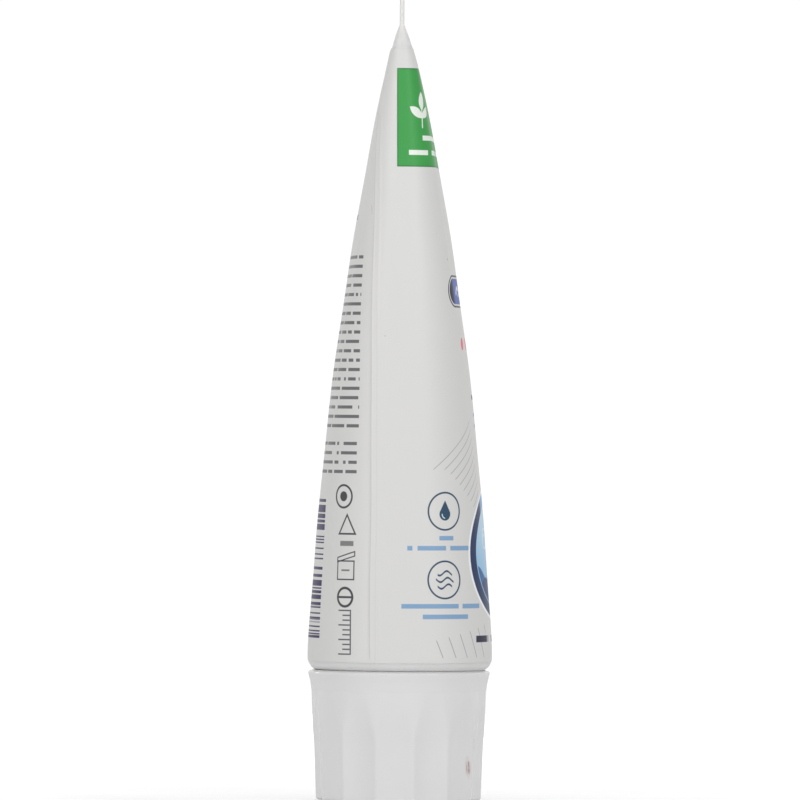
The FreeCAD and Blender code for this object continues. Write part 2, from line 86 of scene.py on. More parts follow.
def oval(z):
    """Half thickness, end radius, centre of the ends and side radius at z."""
    z = np.clip(np.asarray(z, float), 27.0, 146.9)
    b = np.minimum(THICK(z), 17.5)
    e = np.clip(ENDS(z), 0.2, b - 1e-4)
    proud = b - e
    low, high = proud * 1.0001, np.full_like(b, GIRTH / 4)
    for _ in range(60):
        c = (low + high) / 2
        drop = (c ** 2 - proud ** 2) / (2 * proud)
        lean = np.arctan2(c, drop)
        around = 4 * ((b + drop) * lean + e * (PI / 2 - lean))
        low, high = np.where(around < GIRTH, c, low), np.where(around < GIRTH, high, c)
    return b, e, c, b + drop


def wrap_point(q, z, out):
    """Points on the sleeve's outside at length q and height z, moved outward
    by out. q, z and out are arrays of one shape. Below z 27 the sleeve curls
    in over the shoulder, and z runs on as arc length of that curl."""
    q, z, out = np.broadcast_arrays(np.asarray(q, float), np.asarray(z, float), np.asarray(out, float))
    b, e, c, s = oval(z)
    round_end = z <= 27.0
    u = np.mod(q, GIRTH)
    back = u > GIRTH / 2
    v = np.where(back, GIRTH - u, u)
    far = v > GIRTH / 4
    w = np.where(far, GIRTH / 2 - v, v)
    lean = np.arcsin(np.clip(c / (s - e), -1, 1))
    end_long = e * (PI / 2 - lean)
    t = w / e
    phi = (GIRTH / 4 - w) / s
    on_end = w <= end_long
    nx = np.where(on_end, -np.cos(t), -np.sin(phi))
    ny = np.where(on_end, -np.sin(t), -np.cos(phi))
    x = np.where(on_end, -c - e * np.cos(t), -s * np.sin(phi))
    y = np.where(on_end, -e * np.sin(t), s - b - s * np.cos(phi))
    # the curl: a circle of radius 2.4 centred 15.1 from the axis
    curl = np.clip((27.0 - z) / 2.4, 0, PI / 2)
    ring = 15.1 + (2.4 + out) * np.cos(curl)
    turn = w / 17.5
    x = np.where(round_end, -ring * np.cos(turn), x + nx * out)
    y = np.where(round_end, -ring * np.sin(turn), y + ny * out)
    zz = np.where(round_end, 27.0 - (2.4 + out) * np.sin(curl), z)
    x = np.where(far, -x, x)
    y = np.where(back, -y, y)
    return np.stack([x, y, zz], -1)


def smooth(a, b, t):
    t = np.clip((np.asarray(t, float) - a) / (b - a), 0, 1)
    return t * t * (3 - 2 * t)


# -------------------------------------------------------------------- meshes
def build(name, verts, faces, sharp=38.0, attributes=None, recalc=True):
    """A smooth-shaded mesh object from points in mm."""
    mesh = bpy.data.meshes.new(name)
    mesh.from_pydata((np.asarray(verts, float) * MM).tolist(), [], faces)
    mesh.update()
    if recalc:
        bm = bmesh.new()
        bm.from_mesh(mesh)
        bmesh.ops.recalc_face_normals(bm, faces=bm.faces)
        bm.to_mesh(mesh)
        bm.free()
    mesh.polygons.foreach_set("use_smooth", [True] * len(mesh.polygons))
    mesh.set_sharp_from_angle(angle=math.radians(sharp))
    for key, data in (attributes or {}).items():
        layer = mesh.attributes.new(key, "FLOAT_VECTOR", "POINT")
        layer.data.foreach_set("vector", np.asarray(data, np.float32).ravel())
    mesh.update()
    obj = bpy.data.objects.new(name, mesh)
    bpy.context.scene.collection.objects.link(obj)
    return obj


def grid_faces(rows, cols, offset=0, closed=True, flip=False):
    """Quads between rows of points, each row cols long."""
    i, j = np.meshgrid(np.arange(rows - 1), np.arange(cols if closed else cols - 1), indexing="ij")
    k = (j + 1) % cols
    quads = np.stack([i * cols + j, i * cols + k, (i + 1) * cols + k, (i + 1) * cols + j], -1)
    quads = quads.reshape(-1, 4) + offset
    if flip:
        quads = quads[:, ::-1]
    return quads.tolist()


def filleted(corners, near=0.12, step=None):
    """A profile in (radius, z) from corners (r, z, fillet). Each fillet is an
    arc, and the straight runs get a support point near both their ends."""
    pts = [np.array(c[:2], float) for c in corners]
    n = len(pts)
    out = [pts[0]]
    for i in range(1, n - 1):
        p, a, b = pts[i], pts[i - 1], pts[i + 1]
        rad = corners[i][2] if len(corners[i]) > 2 else 0.0
        d1, d2 = (a - p), (b - p)
        l1, l2 = np.linalg.norm(d1), np.linalg.norm(d2)
        d1, d2 = d1 / l1, d2 / l2
        half = math.acos(np.clip(d1 @ d2, -1, 1)) / 2
        if rad <= 0 or half > PI / 2 - 0.03:
            out.append(p)
            continue
        back = min(rad / math.tan(half), 0.45 * l1, 0.45 * l2)
        rad = back * math.tan(half)
        mid = (d1 + d2) / np.linalg.norm(d1 + d2) * (rad / math.sin(half)) + p
        start, end = p + d1 * back, p + d2 * back
        a0 = math.atan2(*(start - mid)[::-1])
        a1 = math.atan2(*(end - mid)[::-1])
        sweep = (a1 - a0 + PI) % (2 * PI) - PI
        steps = max(3, int(abs(sweep) / 0.3) + 1)
        for k in range(steps + 1):
            t = a0 + sweep * k / steps
            out.append(mid + rad * np.array([math.cos(t), math.sin(t)]))
    out.append(pts[-1])
    full = [out[0]]
    for a, b in zip(out, out[1:]):
        long = np.linalg.norm(b - a)
        cuts = []
        if long > 6 * near:
            inner = np.linspace(near, long - near, max(2, int((long - 2 * near) / (step or 1e9)) + 2))
            cuts = [a + (b - a) * (t / long) for t in inner]
        elif long > 3 * near:
            cuts = [a + (b - a) * (near / long), b - (b - a) * (near / long)]
        full += cuts + [b]
    return np.array(full)


def close_pole(faces, center, ring, flip=False):
    n = len(ring)
    for j in range(n):
        tri = [center, ring[j], ring[(j + 1) % n]]
        faces.append(tri[::-1] if flip else tri)


# ---------------------------------------------------------------- the sleeve
quarter = np.concatenate([[0, .07, .16, .27, .40, .56, .74, .94], np.arange(1.145, GIRTH / 4 - 0.05, 0.2)])
half = np.concatenate([quarter, [GIRTH / 4], (GIRTH / 2 - quarter)[::-1]])
columns = np.concatenate([half, (GIRTH - half)[::-1][1:-1]])
COLS = len(columns)

curl_rows = 27.0 - 2.4 * np.linspace(PI / 2, 0, 9)
body_rows = np.concatenate([
    [27.25, 27.7, 28.4], np.arange(29.5, 138.0, 2.1), np.arange(138.6, 144.8, 0.8),
    [145.0, 145.4, 145.8, 146.1, 146.4, 146.65, 146.85]])
tail_rows = np.array([147.0, 147.2, 147.45, 147.7, 148.0, 148.3, 148.6, 149.4, 150.2, 150.9, 151.2, 151.5, 151.75])
outer_rows = np.concatenate([curl_rows, body_rows, tail_rows])


def tail_relief(q, z):
    """How deep the sealing jaws pressed the tail: fine upright grooves."""
    along = np.abs(np.mod(q, GIRTH / 2) - GIRTH / 4)
    wave = 0.5 - 0.5 * np.cos(2 * PI * along / 1.2)
    zone = smooth(147.7, 148.2, z) * (1 - smooth(151.0, 151.4, z)) * (1 - smooth(25.6, 26.4, along))
    fold = np.exp(-((z - 147.2) / 0.22) ** 2) * 0.05
    return -0.085 * wave * zone - fold


def settle(points):
    """Slow unevenness of a hand-filled tube: the front stands a little
    prouder than the back, and the walls wander by a tenth of a millimetre."""
    p = points.copy()
    x, y, z = p[..., 0], p[..., 1].copy(), p[..., 2]
    rise = smooth(27, 52, z) * (1 - smooth(118, 143, z))
    p[..., 1] += 0.15 * smooth(139, 147, z) - 0.13 * (1 - smooth(112, 140, z))
    wander = 0.07 * np.sin(z * 0.115 + 0.9) * np.sin(x * 0.12 + 0.4) \
        + 0.05 * np.sin(z * 0.23 + x * 0.19 + 2.1)
    p[..., 1] += wander * rise * np.sign(y) * smooth(0, 5, np.abs(y))
    return p


zz, qq = np.meshgrid(outer_rows, columns, indexing="ij")
outer = wrap_point(qq, np.minimum(zz, 146.9), tail_relief(qq, zz))
outer[..., 2] = np.where(zz > 146.9, zz, outer[..., 2])
outer = settle(outer)
rim = wrap_point(columns, np.full(COLS, 146.9), np.full(COLS, -0.12))
rim[:, 2] = 151.9
rim = settle(rim)
inner_rows = np.concatenate([27.0 - 2.4 * np.linspace(PI / 2, 0, 6), np.array([30, 45, 62, 80, 97, 112, 124, 134, 141, 145.0])])
zi, qi = np.meshgrid(inner_rows, columns, indexing="ij")
inner = settle(wrap_point(qi, zi, np.full_like(zi, -0.45)))
verts = np.concatenate([outer.reshape(-1, 3), rim, inner.reshape(-1, 3)])
n_out = len(outer_rows)
faces = grid_faces(n_out + 1, COLS)
base = (n_out + 1) * COLS
faces += grid_faces(len(inner_rows), COLS, base, flip=True)
faces += [[j, base + j, base + (j + 1) % COLS, (j + 1) % COLS] for j in range(COLS)]


def ladder(first, flip=False):
    """Closes an oval ring of points with rungs from front to back."""
    rungs = []
    top = COLS // 2
    for j in range(top):
        a, b = j, j + 1
        c, d = (COLS - b) % COLS, (COLS - a) % COLS
        loop = [first + k for k in dict.fromkeys([a, b, c, d])]
        if len(loop) >= 3:
            rungs.append(loop[::-1] if flip else loop)
    return rungs


faces += ladder(n_out * COLS)
faces += ladder(base + (len(inner_rows) - 1) * COLS, flip=True)
sleeve = build("sleeve_shell", verts, faces, 34.0)

# ------------------------------------------------------------- the wrap film
LOW, HIGH, CORNER = 26.5, 142.6, 1.15
s_cols = np.concatenate([[0, .03, .08, .15, .25, .38, .54, .72, .92, 1.1, 1.25, 1.4, 1.55, 1.7, 1.9, 2.15],
                         np.arange(2.45, GIRTH + 0.9, 0.3), [GIRTH + 1.02, GIRTH + 1.1]])
SC = len(s_cols)
lift_low = np.where(s_cols < CORNER, CORNER - np.sqrt(np.clip(CORNER ** 2 - (CORNER - s_cols) ** 2, 0, None)), 0)
steps = np.concatenate([np.linspace(0, 0.03, 5), np.linspace(0.045, 0.955, 54), np.linspace(0.97, 1, 5)])
z_grid = (LOW + lift_low)[None, :] + steps[:, None] * (HIGH - LOW - 2 * lift_low)[None, :]
q_grid = np.broadcast_to(s_cols - 5.8, z_grid.shape)
s_grid = np.broadcast_to(s_cols, z_grid.shape)
proud = 0.10 + 0.085 * (1 - smooth(1.05, 1.75, s_grid)) + 0.07 * (1 - smooth(0, 0.55, s_grid)) \
    * smooth(0, 0.02, steps)[:, None]
film_out = settle(wrap_point(q_grid, z_grid, proud))
film_in = settle(wrap_point(q_grid, z_grid, proud - 0.08))
rows = len(steps)
verts = np.concatenate([film_out.reshape(-1, 3), film_in.reshape(-1, 3)])
off = rows * SC
faces = grid_faces(rows, SC, 0, closed=False) + grid_faces(rows, SC, off, closed=False, flip=True)
edge = [j for j in range(SC)] + [i * SC + SC - 1 for i in range(1, rows)] \
    + [(rows - 1) * SC + j for j in range(SC - 2, -1, -1)] + [i * SC for i in range(rows - 2, 0, -1)]
for a, b in zip(edge, edge[1:] + edge[:1]):
    faces.append([a, off + a, off + b, b])
wrap = np.stack([q_grid, z_grid, s_grid], -1).reshape(-1, 3)
film = build("wrap_film", verts, faces, 50.0, {"wrap": np.concatenate([wrap, wrap])})


# ------------------------------------------------------------------- threads
def ridge(theta, z, start_z, rise, pitch=3.0, half_root=0.65, half_tip=0.35):
    """Height from 0 to 1 of a right-handed trapezoid thread at theta, z."""
    top = 2 * PI * rise / pitch
    best = np.zeros(np.broadcast(theta, z).shape)
    for k in range(-1, 5):
        total = np.mod(theta, 2 * PI) + 2 * PI * k
        mid = start_z + pitch * total / (2 * PI)
        gap = np.abs(z - mid)
        height = np.clip((half_root - gap) / (half_root - half_tip), 0, 1)
        height = height * height * (3 - 2 * height)
        fade = smooth(-0.12, 0.28, total) * (1 - smooth(top - 0.28, top + 0.12, total))
        best = np.maximum(best, height * fade)
    return best


# --------------------------------------------------------------- the cap
FLUTES = 14
STEP = 2 * PI / FLUTES
local = np.linspace(-1, 1, 29)[:-1]
local = (local + 0.2 * np.sin(PI * local)) * STEP / 2
cap_theta = np.concatenate([k * STEP + local for k in range(FLUTES)])
CT = len(cap_theta)
TURN = math.radians(-2.6)


def soft_min(values, k):
    stack = np.stack(values)
    low = stack.min(0)
    return low - k * np.log(np.exp(-(stack - low) / k).sum(0))


def deep(z):
    """Flute bottom from the axis: two slopes with a soft bend at 11.3."""
    a = 15.00 + (z + 0.5) * (0.44 / 11.8)
    b = 15.44 + (z - 11.3) * (1.32 / 10.1)
    k = 0.05
    top = np.maximum(a, b)
    return top + k * np.log(np.exp((a - top) / k) + np.exp((b - top) / k)) - k * math.log(2) * np.exp(-((z - 11.3) / 3) ** 2)


def outside(theta, z):
    """Radius of the cap's outside: a slim cone with hollow flutes."""
    plain = 15.85 + np.clip((z - 0.5) / 20.7, 0, 1) * 0.85
    phi = np.mod(theta + STEP / 2, STEP) - STEP / 2
    cuts = []
    for shift in (0.0, STEP, -STEP):
        p = np.clip(phi + shift, -0.45, 0.45)
        d = deep(z) + 15.5
        cuts.append(d * np.cos(p) - np.sqrt(np.clip(15.5 ** 2 - (d * np.sin(p)) ** 2, 0, None)))
    shape = soft_min([plain] + cuts, 0.085)
    fade = smooth(20.6, 21.2, z)
    return shape * (1 - fade) + plain * fade


cap_rows = []       # (radius array over theta, z array over theta)
flat = np.zeros(CT)


def plain_rows(profile):
    for r, z in profile:
        cap_rows.append((flat + r, flat + z))


# underside, from the middle out
plain_rows(filleted([(0.35, 0.3, 0), (1.8, 0.3, 0.1), (1.8, 0.0, 0.12), (3.4, 0.0, 0)], 0.1))
for r in (6.0, 9.5, 12.5, 14.2):
    cap_rows.append((flat + r, flat))
for z, inset in [(0.0, 0.62), (0.0, 0.5), (0.035, 0.32), (0.13, 0.165), (0.28, 0.05), (0.5, 0.0)]:
    cap_rows.append((outside(cap_theta, flat + 0.5) - inset, flat + z))
for z in np.concatenate([[0.62, 1.0, 2.0], np.arange(3.5, 10.0, 1.5), np.arange(10.5, 20.4, 0.42),
                         [20.5, 20.7, 20.85, 21.0]]):
    cap_rows.append((outside(cap_theta, flat + z), flat + z))
plain_rows([(16.715, 21.12), (16.735, 21.25), (16.765, 21.45), (16.81, 21.8), (16.875, 22.2), (16.95, 22.6),
            (17.035, 23.0), (17.12, 23.35), (17.215, 23.72), (17.29, 24.05)])
plain_rows(filleted([(17.29, 24.06, 0), (17.35, 24.36, 0.10), (17.19, 24.58, 0.10), (16.38, 24.87, 0.08), (16.06, 24.70, 0.10),
                     (16.0, 22.5, 0.2), (14.78, 21.35, 0.3), (13.95, 2.4, 0), (13.75, 1.83, 0),
                     (13.2, 1.6, 0), (9.15, 1.6, 0.3), (8.85, 20.3, 0.22), (7.72, 20.3, 0.15),
                     (7.40, 19.85, 0.15), (7.40, 19.7, 0)], 0.1, 2.4)[1:])
for z in np.arange(19.6, 9.6, -0.2):
    height = ridge(cap_theta, flat + z, 10.7, 8.1)
    cap_rows.append((7.40 - 0.85 * height, flat + z))
plain_rows(filleted([(7.40, 9.5, 0), (7.40, 1.6, 0.4), (4.9, 1.6, 0.25), (4.9, 9.85, 0.3), (3.5, 9.85, 0.3),
                     (3.5, 1.6, 0.4), (0.3, 1.6, 0)], 0.12, 3.0))
radius = np.array([r for r, _ in cap_rows])
height = np.array([z for _, z in cap_rows])
theta = np.broadcast_to(cap_theta + TURN, radius.shape)
pts = np.stack([radius * np.cos(theta), radius * np.sin(theta), height], -1)
verts = pts.reshape(-1, 3).tolist()
faces = grid_faces(len(cap_rows), CT)
verts += [[0, 0, 0.3], [0, 0, 1.6]]
close_pole(faces, len(verts) - 2, list(range(CT)), flip=True)
close_pole(faces, len(verts) - 1, [(len(cap_rows) - 1) * CT + j for j in range(CT)])
skin = [[t * 16.2, z, r] for r, z, t in zip(radius.ravel(), height.ravel(), np.broadcast_to(cap_theta, radius.shape).ravel())]
skin += [[0, 0.3, 0], [0, 1.6, 0]]
# ribs between the threaded collar and the wall
cross = filleted([(0.45, 1.35, 0), (0.40, 16.0, 0.28), (-0.40, 16.0, 0.28), (-0.45, 1.35, 0)], 0.1, 3.0)
for k in range(4):
    turn = math.radians(45 + 90 * k) + TURN
    along = [8.55, 8.72, 9.3, 11.5, 13.7, 14.3, 14.45]
    first = len(verts)
    for a in along:
        wide = 1.0 + 0.35 * (math.exp(-((a - 8.9) / 0.35) ** 2) + math.exp(-((a - 14.35) / 0.4) ** 2))
        for w, z in cross:
            x, y = a, w * wide
            verts.append([x * math.cos(turn) - y * math.sin(turn), x * math.sin(turn) + y * math.cos(turn), z])
            skin.append([0, z, a])
    m = len(cross)
    faces += grid_faces(len(along), m, first)
    faces.append([first + j for j in range(m)][::-1])
    faces.append([first + (len(along) - 1) * m + j for j in range(m)])
cap = build("screw_cap_moulding", verts, faces, 42.0, {"skin": skin})

# -------------------------------------------------------------- the head
HT = 300
head_theta = np.arange(HT) * 2 * PI / HT
head_rows = []
flat = np.zeros(HT)
first_part = filleted([(3.6, 11.0, 0), (3.6, 10.2, 0.18), (5.95, 10.2, 0.05), (6.30, 10.55, 0.15), (6.30, 11.2, 0)], 0.1)
for r, z in first_part:
    head_rows.append((flat + r, flat + z))
for z in np.arange(11.4, 19.9, 0.19):
    bump = ridge(head_theta, flat + z, 12.2, 6.6)
    head_rows.append((6.30 + 0.90 * bump, flat + z))
second = filleted([(6.30, 20.0, 0), (6.33, 20.6, 0.5), (7.4, 21.2, 0.5), (15.06, 24.62, 0.12), (15.06, 25.08, 0.1),
                   (15.60, 25.16, 0), (16.12, 25.37, 0), (16.55, 25.73, 0), (16.85, 26.2, 0), (16.97, 26.55, 0),
                   (16.97, 27.4, 0.15), (15.9, 27.4, 0.15), (15.2, 26.1, 0.4), (5.4, 22.5, 0.5), (4.6, 21.5, 0.4),
                   (4.6, 11.4, 0.1), (3.6, 11.4, 0.1), (3.6, 11.1, 0)], 0.12, 1.6)
for r, z in second:
    head_rows.append((flat + r, flat + z))
radius = np.array([r for r, _ in head_rows])
height = np.array([z for _, z in head_rows])
theta = np.broadcast_to(head_theta, radius.shape)
pts = np.stack([radius * np.cos(theta), radius * np.sin(theta), height], -1)
faces = grid_faces(len(head_rows), HT)
faces += [[(len(head_rows) - 1) * HT + j, (len(head_rows) - 1) * HT + (j + 1) % HT, (j + 1) % HT, j] for j in range(HT)]
head = build("shoulder_and_nozzle", pts.reshape(-1, 3), faces, 42.0)

# -------------------------------------------------------------- the foil
FT = 192
foil_theta = np.arange(FT) * 2 * PI / FT
foil_r = np.concatenate([[0.25], np.arange(0.6, 6.05, 0.15), [6.05, 6.1]])


def foil_relief(r, t):
    """Sealed down on the nozzle's land, with the crimp of the sealing head
    pressed through it, and slack over the orifice."""
    land = smooth(3.55, 3.75, r) * (1 - smooth(5.75, 5.95, r))
    press = 0.010 * np.sin(t * 48) * np.sin(r * 14.0) * land
    slack = 0.03 * np.cos(np.clip(r / 3.6, 0, 1) * PI / 2) * (1 + 0.3 * np.sin(3 * t + 0.5) + 0.25 * np.sin(5 * t + r * 2.0))
    curl = -0.02 * smooth(5.8, 6.1, r) * (1 + 0.6 * np.sin(7 * t + 1.0))
    return press - slack * (1 - land) + curl


rr, tt = np.meshgrid(foil_r, foil_theta, indexing="ij")
relief = foil_relief(rr, tt)
wobble = 1 + 0.004 * np.sin(9 * tt) * smooth(5.5, 6.1, rr) - 0.004 * smooth(5.5, 6.1, rr)
low = np.stack([rr * wobble * np.cos(tt), rr * wobble * np.sin(tt), 10.10 + relief], -1)
top = low + np.array([0, 0, 0.05])
verts = np.concatenate([low.reshape(-1, 3), top.reshape(-1, 3)]).tolist()
nr = len(foil_r)
faces = grid_faces(nr, FT) + grid_faces(nr, FT, nr * FT, flip=True)
faces += [[(nr - 1) * FT + j, (nr - 1) * FT + (j + 1) % FT, nr * FT + (nr - 1) * FT + (j + 1) % FT,
           nr * FT + (nr - 1) * FT + j] for j in range(FT)]
verts += [[0, 0, 10.10 - 0.03], [0, 0, 10.15 - 0.03]]
close_pole(faces, len(verts) - 2, list(range(FT)), flip=True)
close_pole(faces, len(verts) - 1, [nr * FT + j for j in range(FT)])
foil = build("foil_membrane", verts, faces, 60.0)

# -------------------------------------------------------------- the paste
PT = 220
paste_q = np.arange(PT) * GIRTH / PT
rows3 = []
plug = filleted([(0.3, 10.22, 0), (3.5, 10.22, 0.2), (3.5, 11.5, 0), (4.52, 11.5, 0.1), (4.52, 21.5, 0.3),
                 (5.3, 22.6, 0.3), (15.0, 26.2, 0.4), (15.75, 27.3, 0.3), (16.95, 27.5, 0.2), (16.96, 27.7, 0)], 0.15, 1.6)
for r, z in plug:
    ang = paste_q / 17.5
    rows3.append(np.stack([-r * np.cos(ang), -r * np.sin(ang), np.full(PT, z)], -1))
for z in np.concatenate([[28.5], np.arange(30.5, 114.5, 3.0), [114.6, 115.1]]):
    rows3.append(settle(wrap_point(paste_q, np.full(PT, z), np.full(PT, -0.52))))
edge_row = rows3[-1]
for k, (share, rise_z) in enumerate([(0.985, 0.28), (0.95, 0.38), (0.85, 0.36), (0.7, 0.2), (0.5, -0.1), (0.3, -0.25), (0.12, -0.3), (0.03, -0.3)]):
    row = edge_row * share
    row[:, 2] = 115.1 + rise_z + 0.12 * np.sin(row[:, 0] * 0.45 + 1.0) * np.sin(row[:, 1] * 0.6 + 0.3) * (1 - share) ** 0.5
    rows3.append(row)
verts = np.concatenate(rows3).tolist()
faces = grid_faces(len(rows3), PT)
verts += [[0, 0, 10.22], [0, 0, 114.8]]
close_pole(faces, len(verts) - 2, list(range(PT)), flip=True)
close_pole(faces, len(verts) - 1, [(len(rows3) - 1) * PT + j for j in range(PT)])
paste = build("paste_fill", verts, faces, 60.0)


# ------------------------------------------------------------------ materials
def ink(r, g, b):
    """A printed colour given in screen values, as linear light."""
    def one(v):
        v /= 255.0
        return v / 12.92 if v <= 0.04045 else ((v + 0.055) / 1.055) ** 2.4
    return (one(r), one(g), one(b), 1.0)


class Net:
    """A material's node tree, with arithmetic on its sockets."""

    def __init__(self, name):
        self.material = bpy.data.materials.new(name)
        self.material.use_nodes = True
        self.tree = self.material.node_tree
        self.tree.nodes.clear()
        self.shader = self.node("ShaderNodeBsdfPrincipled")
        out = self.node("ShaderNodeOutputMaterial")
        self.tree.links.new(self.shader.outputs["BSDF"], out.inputs["Surface"])

    def node(self, kind, **settings):
        node = self.tree.nodes.new(kind)
        for key, value in settings.items():
            setattr(node, key, value)
        return node

    def link(self, value, socket):
        if isinstance(value, Term):
            value = value.socket
        if hasattr(value, "links"):
            self.tree.links.new(value, socket)
        else:
            socket.default_value = value

    def math(self, operation, *values, clamp=False):
        node = self.node("ShaderNodeMath", operation=operation, use_clamp=clamp)
        for value, socket in zip(values, node.inputs):
            self.link(value, socket)
        return Term(self, node.outputs[0])

    def vector(self, x, y, z=0.0):
        node = self.node("ShaderNodeCombineXYZ")
        for value, socket in zip((x, y, z), node.inputs):
            self.link(value, socket)
        return Term(self, node.outputs[0])

    def parts(self, vector):
        node = self.node("ShaderNodeSeparateXYZ")
        self.link(vector, node.inputs[0])
        return [Term(self, o) for o in node.outputs]

    def attribute(self, name):
        node = self.node("ShaderNodeAttribute", attribute_name=name)
        return Term(self, node.outputs["Vector"])

    def place(self):
        return Term(self, self.node("ShaderNodeTexCoord").outputs["Object"])

    def noise(self, vector, scale, detail=2.0, rough=0.5):
        node = self.node("ShaderNodeTexNoise")
        self.link(vector, node.inputs["Vector"])
        node.inputs["Scale"].default_value = scale
        node.inputs["Detail"].default_value = detail
        node.inputs["Roughness"].default_value = rough
        return Term(self, node.outputs["Fac"])

    def random(self, vector):
        node = self.node("ShaderNodeTexWhiteNoise", noise_dimensions="3D")
        self.link(vector, node.inputs["Vector"])
        return Term(self, node.outputs["Value"])

    def mix(self, fac, a, b):
        node = self.node("ShaderNodeMix", data_type="RGBA")
        self.link(fac, node.inputs["Factor"])
        for value, socket in ((a, node.inputs[6]), (b, node.inputs[7])):
            self.link(value, socket)
        return Term(self, node.outputs[2])

    def bump(self, height, strength, distance, normal=None):
        node = self.node("ShaderNodeBump")
        node.inputs["Strength"].default_value = strength
        node.inputs["Distance"].default_value = distance
        self.link(height, node.inputs["Height"])
        if normal is not None:
            self.link(normal, node.inputs["Normal"])
        return Term(self, node.outputs["Normal"])

    def put(self, name, value):
        self.link(value, self.shader.inputs[name])


class Term:
    def __init__(self, net, socket):
        self.net, self.socket = net, socket

    def __add__(self, other):
        return self.net.math("ADD", self, other)

    def __radd__(self, other):
        return self.net.math("ADD", other, self)

    def __sub__(self, other):
        return self.net.math("SUBTRACT", self, other)

    def __rsub__(self, other):
        return self.net.math("SUBTRACT", other, self)

    def __mul__(self, other):
        return self.net.math("MULTIPLY", self, other)

    def __rmul__(self, other):
        return self.net.math("MULTIPLY", other, self)

    def __truediv__(self, other):
        return self.net.math("DIVIDE", self, other)

    def __neg__(self):
        return self.net.math("MULTIPLY", self, -1.0)

    def abs(self):
        return self.net.math("ABSOLUTE", self)

    def floor(self):
        return self.net.math("FLOOR", self)

    def fract(self):
        return self.net.math("FRACT", self)

    def max(self, other):
        return self.net.math("MAXIMUM", self, other)

    def min(self, other):
        return self.net.math("MINIMUM", self, other)

    def below(self, edge, soft=0.05):
        """1 where this is under the edge, with a soft step."""
        return self.net.math("MULTIPLY_ADD", self, -0.5 / soft, 0.5 + edge * 0.5 / soft, clamp=True)

    def above(self, edge, soft=0.05):
        return self.net.math("MULTIPLY_ADD", self, 0.5 / soft, 0.5 - edge * 0.5 / soft, clamp=True)


def length(a, b):
    return a.net.math("SQRT", a.net.math("MULTIPLY_ADD", a, a, b * b))


def inside_box(q, z, q0, q1, z0, z1, soft=0.05, round_off=0.0):
    dq = (q - (q0 + q1) / 2).abs() - ((q1 - q0) / 2 - round_off)
    dz = (z - (z0 + z1) / 2).abs() - ((z1 - z0) / 2 - round_off)
    if round_off:
        return length(dq.max(0.0), dz.max(0.0)).below(round_off, soft)
    return dq.max(dz).below(0.0, soft)


def moulded(name, color, rough, grain=0.02, grain_scale=900.0, peel=0.00006, spec=0.5, soft=0.0):
    """A moulded plastic with faint flow marks, uneven gloss and fine skin."""
    net = Net(name)
    at = net.place()
    flow = net.noise(at, 42.0, 3.0)
    spot = net.noise(at, 620.0, 2.0)
    tint = tuple(c * 0.975 for c in color[:3]) + (1.0,)
    net.put("Base Color", net.mix(net.math("MULTIPLY_ADD", flow, 0.9, spot * 0.25, clamp=True), tint, color))
    net.put("Roughness", net.math("MULTIPLY_ADD", net.noise(at, 160.0, 3.0), 0.14, rough - 0.07))
    skin_a = net.bump(net.noise(at, grain_scale, 2.0), grain, 0.0002)
    net.put("Normal", net.bump(net.noise(at, 95.0, 2.0), 0.25, peel, skin_a))
    net.put("IOR", 1.49)
    net.put("Specular IOR Level", spec)
    if soft:
        net.put("Subsurface Weight", soft)
        net.put("Subsurface Radius", (1.0, 0.9, 0.78))
        net.put("Subsurface Scale", 0.0008)
    return net


WHITE = (0.712, 0.709, 0.699, 1.0)
cap_net = moulded("cap_plastic_white", (0.767, 0.763, 0.764, 1.0), 0.125)
head_net = moulded("head_plastic_natural", (0.82, 0.81, 0.775, 1.0), 0.38, soft=0.8)
sleeve_net = moulded("sleeve_plastic_white", (0.752, 0.748, 0.736, 1.0), 0.30, soft=0.8)

# a tiny rub mark low on the cap
arc, up, rad = cap_net.parts(cap_net.attribute("skin"))
base_color = cap_net.shader.inputs["Base Color"].links[0].from_socket
MARK_ARC = (math.radians(180 + 57.7) - TURN) * 16.2
grit = cap_net.noise(cap_net.place(), 1700.0, 3.0)
da = arc - MARK_ARC + (up - 6.5) * 0.12
dz = up - 6.6
outer_wall = rad.above(14.0, 0.2)
stain = (length(da * 1.35, dz * 0.55) + (grit - 0.5) * 0.9).below(0.88, 0.36) * outer_wall
color = cap_net.mix(stain * 0.26, base_color, ink(178, 104, 92))
for shift, low, high, wide, depth in ((0.22, -1.15, 1.0, 0.11, 0.72), (-0.30, -1.0, 0.45, 0.10, 0.40)):
    streak = (da - shift + (grit - 0.5) * 0.25).abs().below(wide, 0.09) * dz.above(low, 0.3) * dz.below(high, 0.3)
    color = cap_net.mix(streak * grit.above(0.40, 0.12) * outer_wall * depth, color, ink(70, 38, 36))
cap_net.put("Base Color", color)

# ------------------------------------------------------------- printed film
net = Net("printed_film_gloss")
q_raw, z, s_len = net.parts(net.attribute("wrap"))
q = q_raw - q_raw.above(GIRTH / 2, 0.001) * GIRTH
at = net.place()
color = net.mix(net.noise(at, 30.0, 2.0), tuple(c * 0.988 for c in WHITE[:3]) + (1.0,), WHITE)
paper = color

NAVY = ink(22, 38, 78)
TEAL = ink(38, 72, 98)
BLUE = ink(92, 150, 198)
SKY = ink(150, 205, 236)
GREEN = ink(56, 158, 72)
GREY = ink(70, 70, 74)


def lay(mask, tone, strength=1.0):
    global color
    color = net.mix(mask * strength if strength != 1.0 else mask, color, tone)


